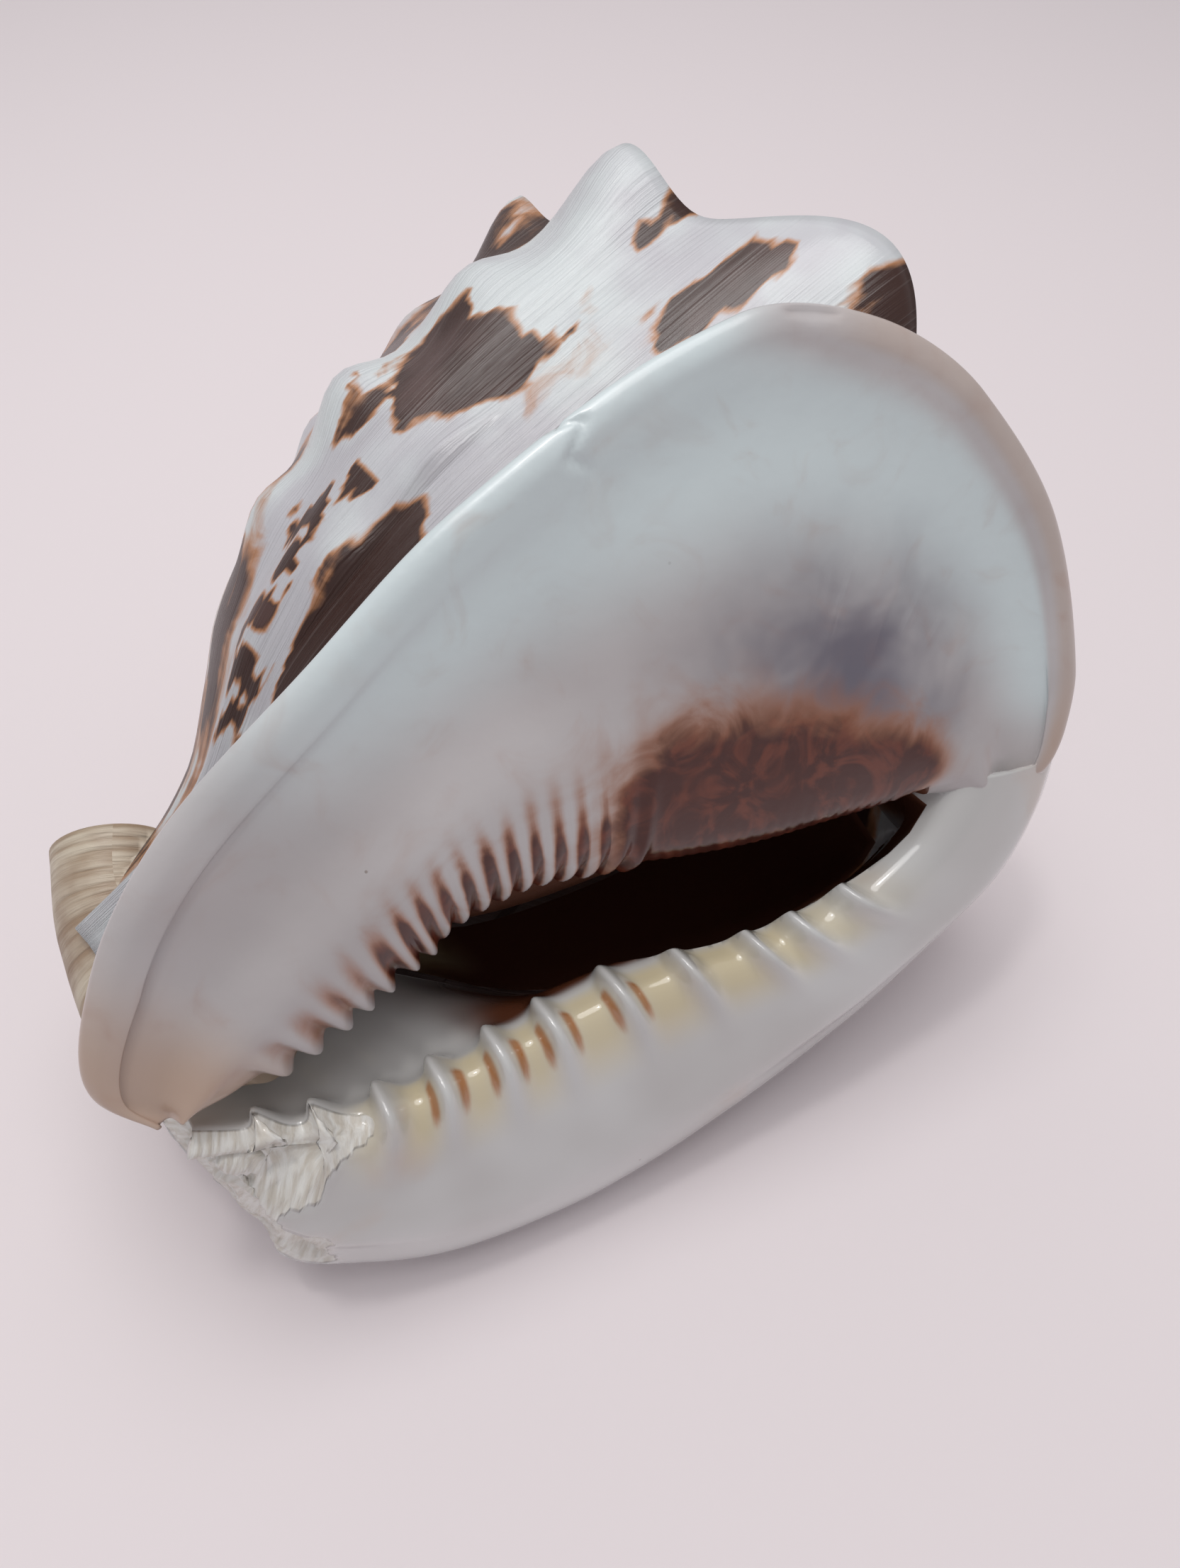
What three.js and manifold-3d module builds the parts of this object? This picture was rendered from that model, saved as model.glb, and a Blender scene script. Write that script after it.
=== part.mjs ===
// Horned helmet shell: one solid shell of the heavy, low-spired cassid kind.
//
// The shell is worked out in its own growth frame first: x to the outer lip, y up the axis to the apex, z out
// of the mouth.  Growth angle runs round the axis (0 at the lip side, 90 at the mouth side, both one turn young
// when negative), and every radius grows by GROWTH each turn.  Last of all the shell is laid on its side, on
// two shoulder horns and the outer lip, with +Z up and z = 0 on the ground.
import * as THREE from 'three';
import { mergeVertices } from 'three/addons/utils/BufferGeometryUtils.js';
import Module from 'manifold-3d';

const wasm = await Module();
wasm.setup();

// --- Driving dimensions, in millimetres and degrees ---
const GROWTH = 1.78; // radius gained in one turn
const MOUTH_ANGLE = 18; // growth angle where the body whorl ends
const SHOULDER_RADIUS = 103; // at growth angle 0
const SHOULDER_DROP = 30; // shoulder below the apex, at growth angle 0
const BASE_Y = -206; // front end of the body whorl
const FACE_HEIGHT = 62; // plane of the mouth side, at FACE_Y
const FACE_Y = -115;
const FACE_SLOPE = 0.12;
const WALL = 3.6;
const CALLUS = 2.2; // extra shell laid on the turn before, inside the mouth
const NARROW_FACE = 45; // where the face is narrower than this, its edges are rounded less
const REST_FLAT = 0.4; // depth worn off each of the three feet
const FEET = [[106, -172, 23], [79, -98, -53], [117, -24, -16]]; // lip, flank knob and shoulder horn
const FOOT_REACH = 16;

// Taper of the body whorl: radius as a part of the shoulder radius, by distance down the side.
const TAPER_AT = [0, 0.1, 0.22, 0.38, 0.52, 0.64, 0.71, 0.79, 0.89, 1];
const TAPER = [1, 1.01, 0.99, 0.92, 0.8, 0.65, 0.5, 0.34, 0.24, 0.19];
const SIDE_LENGTH = 180;
const RAMP_LENGTH = 50;

// Four rows of knobs: place down the side, height, half width, tilt towards the apex.
const KNOBS_PER_TURN = 10;
const FIRST_KNOB = -190;
const KNOB_ROW_LAG = 5;
const KNOB_ROWS = [
  { at: 0.01, height: 18, width: 14, tilt: 22 },
  { at: 0.19, height: 6.5, width: 11.5, tilt: 5 },
  { at: 0.375, height: 7, width: 10.5, tilt: 0 },
  { at: 0.53, height: 4.5, width: 9.5, tilt: 0 },
];
const BURIED_FROM = -350; // the parietal shield buries the knobs between these growth angles
const BURIED_TO = -210;
const VARIX = { angle: -197, height: 3, width: 6 };
const CREST_LUMP = { angle: -230, height: 21, width: 21, reach: 24, lean: 0.35 };

// Plan outlines (x, y) on the mouth side, each from the spire end to the canal end.
const COLUMELLA_EDGE = [
  [60, -37], [50, -60], [42, -80], [33, -97], [23, -113], [15, -129], [13, -142], [15, -160], [17, -180],
  [16, -196], [12, -206],
];
const SHIELD_RIM = [
  [66, -14], [45, -2], [12, 7], [-20, 2], [-45, -13], [-60, -38], [-62, -62], [-59, -100], [-50, -138],
  [-40, -175], [-24, -202], [-3, -217], [9, -213],
];
const LIP_CREST = [
  [57, -34], [66, -50], [68, -65], [65, -88], [56, -109], [49, -130], [45, -152], [40, -176], [32, -192],
  [22, -204], [17, -209],
];
const LIP_MARGIN = [
  [74, 4], [84, -6], [99, -26], [108, -50], [114, -77], [116, -104], [115, -130], [112, -153], [106, -174],
  [98, -192], [85, -208], [69, -220], [46, -222], [25, -219],
];

// Cross-section of the shield: part of the way from columella edge to rim, millimetres more, height over the face.
const SHIELD_SECTION = [
  [0, -2, -16], [0, 0, -9], [0, 3, -4.5], [0, 9, -1.5], [0.3, 0, -0.5], [0.52, 0, -4], [0.78, 0, -4],
  [1, -8, -1], [1, -3.5, 0.5], [1, -0.3, -2], [1, -1.5, -5.5], [1, -8, -7], [0.75, 0, -11], [0.5, 0, -26],
  [0.25, 0, -38], [0, 6, -42], [0, 0, -32],
];
const SHIELD_TOP_LAST = 8; // section points 1 to this one lie on the open side

// Teeth of the outer lip, by their place along it from the spire end.
const LIP_TEETH_AT = [0.2, 0.27, 0.33, 0.42, 0.505, 0.59, 0.655, 0.725, 0.79, 0.86, 0.92];
const LIP_TOOTH = { height: 3.2, width: 2.6 };
const LIP_LENGTH = 190;

// Recurved siphonal canal: centre line and bore.
const CANAL_LINE = [[15, -186, 36], [12, -200, 22], [4, -208, 6], [-7, -206, -9], [-19, -199, -23]];
const CANAL = { width: 12.5, thickness: 10, flare: 5, bore: 5.5, boreStart: [22, -176, 44] };

// Rounded plug between shield, lip and shoulder that closes the mouth at the spire end.
const CORNER = { centre: [68, -23, 38], radii: [38, 13, 24] };

// --- Small helpers ---
const radians = THREE.MathUtils.degToRad;
const clamp = THREE.MathUtils.clamp;
const smoothstep = THREE.MathUtils.smoothstep;
const mix = THREE.MathUtils.lerp;
const bell = (x) => Math.exp(-x * x);

function steps(from, to, count) {
  return Array.from({ length: count + 1 }, (_, i) => mix(from, to, i / count));
}

// A smooth curve through the given values that never overshoots them (monotone cubic).
function monotone(xs, ys) {
  const widths = xs.slice(1).map((x, i) => x - xs[i]);
  const slopes = widths.map((w, i) => (ys[i + 1] - ys[i]) / w);
  const tangents = ys.map((_, i) => {
    if (i === 0) return slopes[0];
    if (i === ys.length - 1) return slopes[i - 1];
    const [before, after] = [slopes[i - 1], slopes[i]];
    if (before * after <= 0) return 0;
    const a = 2 * widths[i] + widths[i - 1];
    const b = widths[i] + 2 * widths[i - 1];
    return (a + b) / (a / before + b / after);
  });
  return (value) => {
    const x = clamp(value, xs[0], xs[xs.length - 1]);
    let i = xs.findIndex((edge) => edge > x) - 1;
    if (i < 0) i = xs.length - 2;
    const w = widths[i];
    const s = (x - xs[i]) / w;
    return (1 + 2 * s) * (1 - s) ** 2 * ys[i] + s * (1 - s) ** 2 * w * tangents[i]
      + s * s * (3 - 2 * s) * ys[i + 1] + s * s * (s - 1) * w * tangents[i + 1];
  };
}

// The same along a line of points, by its length from 0 to 1.
function smoothLine(points) {
  const lengths = [0];
  for (let i = 1; i < points.length; i += 1) {
    lengths.push(lengths[i - 1] + Math.hypot(...points[i].map((v, k) => v - points[i - 1][k])));
  }
  const total = lengths[lengths.length - 1];
  const along = lengths.map((length) => length / total);
  const axes = points[0].map((_, k) => monotone(along, points.map((p) => p[k])));
  return (u) => axes.map((axis) => axis(u));
}

const taper = monotone(TAPER_AT, TAPER);
const faceHeight = (y) => FACE_HEIGHT + (y - FACE_Y) * FACE_SLOPE;

function shoulder(angle) {
  const growth = GROWTH ** (angle / 360);
  return { growth, radius: SHOULDER_RADIUS * growth, y: -SHOULDER_DROP * growth ** 0.9 };
}

function polar(radius, y, angle) {
  return new THREE.Vector3(radius * Math.cos(radians(angle)), y, radius * Math.sin(radians(angle)));
}

// --- Body whorl and spire ---
// One point of the outside: q runs from -1 at the suture to 0 at the shoulder and 1 at the front end.
function outside(angle, q) {
  const now = shoulder(angle);
  const before = shoulder(angle - 360);
  const side = Math.max(q, 0);
  const ramp = Math.min(q, 0) + 1;
  let radius = now.radius * taper(side);
  let y = mix(now.y, BASE_Y, side);
  if (q < 0) {
    radius = mix(before.radius * 0.99, now.radius, ramp);
    y = mix(before.y - 4 * before.growth, now.y, ramp ** 1.7);
  }
  const onShoulder = q < 0 ? (ramp - 1) * RAMP_LENGTH : side * SIDE_LENGTH;
  if (angle < BURIED_FROM || angle > BURIED_TO) {
    KNOB_ROWS.forEach((row, i) => {
      const turn = (angle - FIRST_KNOB - i * KNOB_ROW_LAG) * KNOBS_PER_TURN / 360;
      const around = (0.5 + 0.5 * Math.cos(2 * Math.PI * turn)) ** 2.2;
      const height = row.height * now.growth * around * bell((onShoulder - row.at * SIDE_LENGTH) / row.width);
      radius += height * Math.cos(radians(row.tilt));
      y += height * Math.sin(radians(row.tilt));
    });
  }
  const lump = CREST_LUMP.height * bell((angle - CREST_LUMP.angle) / CREST_LUMP.width)
    * bell(onShoulder / CREST_LUMP.reach);
  y += lump;
  radius += lump * CREST_LUMP.lean;
  radius += VARIX.height * bell((angle - VARIX.angle) / VARIX.width) * ramp;
  return { radius, y };
}

// The whole profile from the apex to the front end, over the turns of the spire that still show.
function profile(angle) {
  const points = [{ radius: 0, y: 0 }];
  for (const turnsBack of [3, 2, 1]) {
    for (const q of [-1, -0.5, 0]) points.push(outside(angle - 360 * turnsBack, q));
  }
  for (const q of [-1, -0.7, -0.45, -0.22]) points.push(outside(angle, q));
  for (const q of steps(0, 1, 17)) points.push(outside(angle, q));
  points.push({ radius: 0, y: BASE_Y - 2 });
  return points;
}

// A wedge of the whorl between two growth angles: profiles swept round the axis, closed by two flat ends.
function wedge(from, to, count) {
  const columns = steps(from, to, count).map((angle) => profile(angle).map((p) => polar(p.radius, p.y, angle)));
  const size = columns[0].length;
  const corners = columns.flat();
  const faces = [];
  for (let i = 0; i < count; i += 1) {
    for (let j = 0; j < size - 1; j += 1) {
      const a = i * size + j;
      faces.push([a, a + size, a + 1], [a + 1, a + size, a + size + 1]);
    }
  }
  for (const [angle, start, turned] of [[from, 0, true], [to, count * size, false]]) {
    const outline = profile(angle).map((p) => new THREE.Vector2(p.radius, p.y));
    for (const [a, b, c] of THREE.ShapeUtils.triangulateShape(outline, [])) {
      faces.push(turned ? [start + a, start + c, start + b] : [start + a, start + b, start + c]);
    }
  }
  return solidFrom(corners, faces);
}

function bodyWhorl() {
  const half = MOUTH_ANGLE - 180;
  const lap = 2; // the young end runs on a little inside the old one
  return wedge(half - 180 - lap, half, 26).add(wedge(half, MOUTH_ANGLE, 26));
}

// --- Closed loops swept into tubes ---
// Triangles that close a nearly flat loop, as seen along the normal of its own plane.
function capTriangles(loop) {
  const normal = new THREE.Vector3();
  loop.forEach((point, i) => normal.add(point.clone().cross(loop[(i + 1) % loop.length])));
  normal.normalize();
  const across = loop[1].clone().sub(loop[0]).projectOnPlane(normal).normalize();
  const upwards = normal.clone().cross(across);
  const outline = loop.map((point) => new THREE.Vector2(point.dot(across), point.dot(upwards)));
  return THREE.ShapeUtils.triangulateShape(outline, []);
}

// Loops are lists of points; the tube is closed by a flat cap at each end.
function tube(loops) {
  const size = loops[0].length;
  const corners = loops.flat();
  const faces = [];
  for (let i = 0; i < loops.length - 1; i += 1) {
    for (let j = 0; j < size; j += 1) {
      const [a, b] = [i * size + j, i * size + (j + 1) % size];
      faces.push([a, b, b + size], [a, b + size, a + size]);
    }
  }
  for (const [a, b, c] of capTriangles(loops[0])) faces.push([a, c, b]);
  const last = (loops.length - 1) * size;
  for (const [a, b, c] of capTriangles(loops[loops.length - 1])) faces.push([last + a, last + b, last + c]);
  return solidFrom(corners, faces);
}

function smoothLoop(points, count) {
  const curve = new THREE.CatmullRomCurve3(points, true, 'catmullrom', 0.5);
  return steps(0, 1, count).slice(0, -1).map((t) => curve.getPoint(t));
}

// A section point placed part of the way from inner to outer, plus a distance, at a height over the face.
function onFace(inner, outer, [part, extra, height]) {
  const reach = Math.hypot(outer[0] - inner[0], outer[1] - inner[1]);
  const k = part + extra / Math.max(reach, NARROW_FACE);
  const x = mix(inner[0], outer[0], k);
  const y = mix(inner[1], outer[1], k);
  return new THREE.Vector3(x, y, faceHeight(y) + height);
}

// --- Parietal shield ---
// Height of the turn before on the mouth side, which the shield must cover.
function coveredHeight(x, y) {
  let z = FACE_HEIGHT;
  for (let pass = 0; pass < 3; pass += 1) {
    const angle = THREE.MathUtils.radToDeg(Math.atan2(Math.max(z, 5), x)) - 360;
    const now = shoulder(angle);
    const side = (y - now.y) / (BASE_Y - now.y);
    const shrink = y > now.y ? Math.sqrt(clamp(1 - (y - now.y) / 40, 0, 1)) : 1;
    const radius = now.radius * taper(side) * shrink;
    z = Math.sqrt(Math.max(radius * radius - x * x, 0));
  }
  return z;
}

function parietalShield() {
  const edge = smoothLine(COLUMELLA_EDGE);
  const rim = smoothLine(SHIELD_RIM);
  const loops = steps(0, 1, 34).map((u) => {
    const points = SHIELD_SECTION.map((place, i) => {
      const point = onFace(edge(u ** 1.15), rim(u), place);
      if (i >= 1 && i <= SHIELD_TOP_LAST) point.z = Math.max(point.z, coveredHeight(point.x, point.y) + CALLUS);
      return point;
    });
    return smoothLoop(points, 24);
  });
  return tube(loops);
}

// --- Outer lip ---
// A point on or in the body whorl wall, where the back of the lip runs into it.
function wallPoint(y, inwards, angle) {
  const now = shoulder(angle);
  return polar(now.radius * taper((y - now.y) / (BASE_Y - now.y)) - inwards, y, angle);
}

function lipSection(crest, margin) {
  const rootY = clamp(crest[1], -196, -40) * 0.7 + clamp(margin[1], -196, -40) * 0.3;
  const under = onFace(crest, margin, [1, -5, -35]);
  const throat = onFace(crest, margin, [0, -1, -14]);
  const back = wallPoint(rootY, 0, 16).lerp(under, 0.5).add(new THREE.Vector3(2, 0, -2));
  return [
    throat,
    wallPoint(rootY, 9, 24).lerp(throat, 0.5),
    wallPoint(rootY, 6, 14),
    wallPoint(rootY, 4, 0),
    wallPoint(rootY, 1.5, 4),
    back,
    under,
    ...[
      [1, -0.8, -29], [1, 0, -23], [1, -4, -15.5], [1, -13, -9], [0.62, 0, -4], [0.3, 0, -0.8],
      [0, 3.2, -1.8], [0, -0.2, -7],
    ].map((place) => onFace(crest, margin, place)),
  ];
}

// Rounded ridges across the crest, each ending in a small inward boss.
function raiseTeeth(points, u) {
  const nearness = LIP_TEETH_AT.map((at) => bell(((u - at) * LIP_LENGTH) / LIP_TOOTH.width));
  const height = LIP_TOOTH.height * Math.max(...nearness);
  points[12].z += height * 0.15;
  points[13].z += height * 0.9;
  points[13].x -= height * 0.7;
  points[14].x -= height * 1.2;
}

function outerLip() {
  const crest = smoothLine(LIP_CREST);
  const margin = smoothLine(LIP_MARGIN);
  const loops = steps(0, 1, 62).map((u) => {
    const points = lipSection(crest(u), margin(u));
    raiseTeeth(points, u);
    return smoothLoop(points, 19);
  });
  return tube(loops);
}

// --- Siphonal canal ---
function canalTube(line, halfWidth, halfThickness, flare) {
  const points = smoothLine(line);
  const loops = steps(0, 1, 9).map((u) => {
    const centre = new THREE.Vector3(...points(u));
    const along = new THREE.Vector3(...points(Math.min(u + 0.02, 1)));
    along.sub(new THREE.Vector3(...points(Math.max(u - 0.02, 0)))).normalize();
    const across = new THREE.Vector3(0.8, 0.3, 0.5).cross(along).normalize();
    const through = along.clone().cross(across);
    return steps(0, 2 * Math.PI, 14).slice(0, -1).map((turn) => centre.clone()
      .addScaledVector(across, (halfWidth + flare * u) * Math.cos(turn))
      .addScaledVector(through, (halfThickness + flare * u) * Math.sin(turn)));
  });
  return tube(loops);
}

function siphonalCanal() {
  return canalTube(CANAL_LINE, CANAL.width, CANAL.thickness, CANAL.flare);
}

function canalBore() {
  const end = CANAL_LINE[CANAL_LINE.length - 1];
  const last = CANAL_LINE[CANAL_LINE.length - 2];
  const beyond = end.map((v, k) => v + (v - last[k]) * 0.5);
  return canalTube([CANAL.boreStart, ...CANAL_LINE.slice(0, -1), end, beyond], CANAL.bore, CANAL.bore, 1.5);
}

function cornerPlug() {
  const ball = new THREE.SphereGeometry(1, 24, 16);
  ball.scale(...CORNER.radii);
  ball.translate(...CORNER.centre);
  return solidOf(ball);
}

// --- Chamber ---
// The hollow turn between the whorl wall and the turn before, narrowing to the slit of the mouth.
function chamberLoop(angle) {
  const now = shoulder(angle);
  const before = shoulder(angle - 360);
  const outer = WALL * now.growth + 17 * smoothstep(angle, 0, 50);
  const inner = CALLUS * now.growth + 4 * smoothstep(angle, -10, 45);
  const sides = steps(0.05, 0.93, 7).map((side) => {
    const y = mix(now.y, BASE_Y, side);
    const wide = now.radius * taper(side) - outer - 6 * now.growth * clamp(1 - side / 0.12, 0, 1) ** 2;
    const core = before.radius * taper((y - before.y) / (BASE_Y - before.y)) + inner;
    return { y, wide, core: Math.min(core, wide - 3 * now.growth) };
  });
  return [
    ...sides.map((s) => polar(s.wide, s.y, angle)),
    ...sides.toReversed().map((s) => polar(s.core, s.y, angle)),
  ];
}

function chamber() {
  return tube([...steps(-1000, -500, 18), ...steps(-480, -8, 27), ...steps(0, 52, 6)].map(chamberLoop));
}

// --- Solids and meshes ---
function solidFrom(corners, faces) {
  let geometry = new THREE.BufferGeometry().setFromPoints(corners);
  geometry.setIndex(faces.flat());
  geometry = mergeVertices(geometry, 1e-3);
  const triVerts = [];
  const index = geometry.index.array;
  for (let i = 0; i < index.length; i += 3) {
    const [a, b, c] = index.slice(i, i + 3);
    if (a !== b && b !== c && c !== a) triVerts.push(a, b, c);
  }
  const mesh = { numProp: 3, vertProperties: geometry.attributes.position.array, triVerts: new Uint32Array(triVerts) };
  if (signedVolume(mesh) < 0) mesh.triVerts.reverse();
  return new wasm.Manifold(new wasm.Mesh(mesh));
}

// The same from one of three's own closed shapes.
function solidOf(geometry) {
  const { position } = geometry.attributes;
  const corners = Array.from({ length: position.count }, (_, i) => new THREE.Vector3().fromBufferAttribute(position, i));
  return solidFrom(corners, [Array.from(geometry.index.array)]);
}

function corner(mesh, i) {
  return new THREE.Vector3().fromArray(mesh.vertProperties, mesh.triVerts[i] * 3);
}

function signedVolume(mesh) {
  let volume = 0;
  for (let i = 0; i < mesh.triVerts.length; i += 3) {
    volume += corner(mesh, i).dot(corner(mesh, i + 1).cross(corner(mesh, i + 2))) / 6;
  }
  return volume;
}

function geometryOf(solid) {
  const { vertProperties, triVerts } = solid.getMesh();
  const geometry = new THREE.BufferGeometry();
  geometry.setAttribute('position', new THREE.BufferAttribute(new Float32Array(vertProperties), 3));
  geometry.setIndex(new THREE.BufferAttribute(new Uint32Array(triVerts), 1));
  return geometry;
}

// --- Resting place ---
function lowestNear(points, place, down) {
  const near = points.filter((point) => point.distanceTo(place) < FOOT_REACH);
  return near.reduce((best, point) => (point.dot(down) > best.dot(down) ? point : best));
}

// The turn and shift that lay the shell on its three feet, mouth to -Y and spire to +X.
function layingDown(solid) {
  const mesh = solid.getMesh();
  const points = steps(0, mesh.vertProperties.length - 3, mesh.vertProperties.length / 3 - 1)
    .map((start) => new THREE.Vector3().fromArray(mesh.vertProperties, Math.round(start)));
  let up = new THREE.Vector3(-0.85, 0.2, 0.48);
  for (let pass = 0; pass < 6; pass += 1) {
    const down = up.clone().negate();
    const [lip, knob, horn] = FEET.map((place) => lowestNear(points, new THREE.Vector3(...place), down));
    up = knob.clone().sub(lip).cross(horn.clone().sub(lip)).normalize();
    if (up.x > 0) up.negate();
  }
  const mouth = new THREE.Vector3(0, -FACE_SLOPE, 1);
  const back = mouth.addScaledVector(up, -mouth.dot(up)).normalize().negate();
  const turn = new THREE.Matrix4().makeBasis(back.clone().cross(up), back, up).transpose();
  const box = new THREE.Box3().setFromPoints(points.map((point) => point.clone().applyMatrix4(turn)));
  const centre = box.getCenter(new THREE.Vector3());
  return turn.premultiply(new THREE.Matrix4().makeTranslation(-centre.x, -centre.y, -box.min.z - REST_FLAT));
}

// Slab under the ground plane, which leaves a small worn flat at each foot.
function ground() {
  const slab = new THREE.BoxGeometry(400, 400, 40);
  slab.translate(0, 0, -20);
  return solidOf(slab);
}

const grown = bodyWhorl().add(parietalShield()).add(outerLip()).add(siphonalCanal()).add(cornerPlug())
  .subtract(chamber())
  .subtract(canalBore());
const laid = grown.transform(layingDown(grown).elements).subtract(ground());

const shell = new THREE.Mesh(
  geometryOf(laid),
  new THREE.MeshStandardMaterial({ color: 0xe6ddd2, roughness: 0.3, metalness: 0 }),
);
shell.name = 'shell';

const part = new THREE.Group();
part.add(shell);
export default part;
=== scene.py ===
"""Horned helmet shell: the visible model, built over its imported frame.

The shell is worked out in its growth frame first, in millimetres: x to the outer lip, y up the axis to the
apex, z out of the mouth.  Growth angle runs round the axis: 0 at the lip side, 90 at the mouth side, younger
when lower.  The finished shell is laid on three feet (outer lip, flank knob, shoulder horn) in metres, with
+Z up, and stands for the frame's node "shell".
"""

import math

import bpy
import numpy as np
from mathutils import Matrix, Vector


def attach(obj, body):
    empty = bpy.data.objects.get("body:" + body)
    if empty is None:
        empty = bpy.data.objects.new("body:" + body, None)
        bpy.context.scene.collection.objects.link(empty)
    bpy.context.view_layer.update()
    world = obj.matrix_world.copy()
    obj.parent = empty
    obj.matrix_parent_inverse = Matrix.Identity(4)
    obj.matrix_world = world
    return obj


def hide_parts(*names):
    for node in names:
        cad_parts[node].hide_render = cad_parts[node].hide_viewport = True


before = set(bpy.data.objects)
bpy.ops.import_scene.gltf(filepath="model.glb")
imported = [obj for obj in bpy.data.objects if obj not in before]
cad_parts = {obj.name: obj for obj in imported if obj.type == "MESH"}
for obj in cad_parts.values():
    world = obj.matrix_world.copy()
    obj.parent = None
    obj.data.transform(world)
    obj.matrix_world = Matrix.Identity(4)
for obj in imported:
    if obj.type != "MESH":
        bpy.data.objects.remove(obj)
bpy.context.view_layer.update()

MM = 0.001
LIT = (0, 0, 0.1)  # middle of the shell, which the lamps point at

# ---------------------------------------------------------------- driving dimensions, mm and degrees
GROWTH = 1.78  # radius gained in one turn
MOUTH_ANGLE = 18  # growth angle where the body whorl ends
SHOULDER_RADIUS = 103  # at growth angle 0
SHOULDER_DROP = 30  # shoulder below the apex, at growth angle 0
BASE_Y = -206  # front end of the body whorl
FACE_HEIGHT = 62  # plane of the mouth side, at FACE_Y
FACE_Y = -115
FACE_SLOPE = 0.12
WALL = 3.6
CALLUS = 2.2  # extra shell laid on the turn before, inside the mouth
NARROW_FACE = 45  # where the face is narrower than this, its edges are rounded less
REST_FLAT = 0.4  # how far the three feet are worn into the ground plane
FEET = [(106, -172, 23), (79, -98, -53), (117, -24, -16)]  # lip, flank knob and shoulder horn
FOOT_REACH = 16

# Taper of the body whorl: radius as a part of the shoulder radius, by distance down the side.
TAPER_AT = [0, 0.1, 0.22, 0.38, 0.52, 0.64, 0.71, 0.79, 0.89, 1]
TAPER = [1, 1.01, 0.99, 0.92, 0.8, 0.65, 0.5, 0.34, 0.24, 0.19]
SIDE_LENGTH = 180
RAMP_LENGTH = 50
SUTURE = {"inset": 0.99, "dip": 4, "hollow": 1.7}  # where a turn meets the turn before

# Four rows of knobs: place down the side, height, half width, tilt towards the apex.
KNOBS_PER_TURN = 10
FIRST_KNOB = -190
KNOB_ROW_LAG = 5
KNOB_ROWS = [
    {"at": 0.01, "height": 18, "width": 14, "tilt": 22},
    {"at": 0.19, "height": 6.5, "width": 11.5, "tilt": 5},
    {"at": 0.375, "height": 7, "width": 10.5, "tilt": 0},
    {"at": 0.53, "height": 4.5, "width": 9.5, "tilt": 0},
]
KNOB_SHARPNESS = 2.2
PROUD = {"angle": -190, "reach": 38, "more": 0.45, "rounder": 0.8}  # higher knobs beside the shield
BURIED_FROM = -350  # the parietal shield buries the knobs between these growth angles
BURIED_TO = -210
VARIX = {"angle": -197, "height": 3, "width": 6}
CREST_LUMP = {"angle": -230, "height": 24, "width": 21, "reach": 24, "lean": 0.35}
LUMP_GLOSS = {"angle": -226, "width": 20, "reach": 30}
# Inside the mouth the whorl is painted dark: partly the lining's own brown, partly painted shade of the
# mouth.
LINING = {"all_below": -296, "none_above": -286, "from_side": 0.02}  # where the whorl is inside the mouth

# Brown clouds: waves of two sizes over the older shell, and single clouds beside the shield, each with its
# growth angle, place down the side, half width, half height and darkness.
CLOUD_WAVES = {"wide": 58, "fine": 21}
BESIDE_SHIELD = ((170, 200), (330, 350))  # growth angles before the mouth, with the single clouds only
BROWN_CLOUDS = [
    (-215, 0.55, 8, 0.11, 1.0), (-196, 0.285, 11, 0.07, 1.0), (-202, 0.265, 6, 0.045, 1.0),
    (-187, 0.385, 5, 0.035, 0.85), (-219, 0.1, 4, 0.055, 1.0), (-202, 0.03, 2.5, 0.03, 0.8),
    (-237, -0.1, 5, 0.16, 1.0), (-156, 0.08, 6, 0.06, 1.0), (-171, 0.62, 6, 0.07, 1.0),
    (-172, 0.3, 5, 0.05, 0.9), (-168, 0.46, 5, 0.04, 0.9),
    (-188, 0.12, 8, 0.06, 0.2), (-201, 0.46, 2.5, 0.016, 0.8),
    (-193, 0.51, 6, 0.022, 0.9), (-197, 0.57, 4, 0.016, 0.8), (-198, 0.62, 4, 0.016, 0.8),
    (-200, 0.67, 4, 0.016, 0.75), (-201, 0.72, 5, 0.014, 0.7), (-211, 0.19, 7, 0.07, 0.2),
]

# Plan outlines (x, y) on the mouth side, each from the spire end to the canal end.
COLUMELLA_EDGE = [
    (60, -37), (50, -60), (42, -80), (33, -97), (23, -113), (15, -129), (13, -142), (15, -160), (17, -180),
    (16, -196), (12, -206),
]
SHIELD_RIM = [
    (73, -10), (51, 4), (14, 10), (-20, 3), (-45, -13), (-60, -38), (-62, -62), (-59, -100), (-50, -138),
    (-40, -175), (-24, -202), (-3, -217), (9, -213),
]
LIP_CREST = [
    (57, -34), (66, -50), (68, -65), (65, -88), (56, -109), (49, -130), (45, -152), (40, -176), (32, -192),
    (22, -204), (17, -209),
]
LIP_MARGIN = [
    (78, 6), (91, -4), (105, -24), (111, -50), (115, -77), (116, -104), (115, -130), (112, -153),
    (106, -174), (98, -192), (85, -208), (69, -220), (46, -222), (25, -219),
]

# Cross-section of the shield: part of the way from columella edge to rim, millimetres more, and
# height over the face.
SHIELD_SECTION = [
    (0, -2, -16), (0, 0, -9), (0, 3, -4.5), (0, 9, -1.5), (0.3, 0, -0.5), (0.52, 0, -4),
    (0.78, 0, -3.1), (1, -10, -1.8), (1, -4.5, -1.3), (1, -0.8, -3), (1, -1.5, -5.5), (1, -8, -7),
    (0.75, 0, -11), (0.5, 0, -26), (0.25, 0, -38), (0, 6, -42), (0, 0, -32),
]
SHIELD_TOP = slice(1, 9)  # section points on the open side
SHIELD_END = 0.03  # part of its length over which the shield's spire end is rounded off
SHIELD_END_SIZE = 0.8  # size of the end face, as a part of the full section

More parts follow.
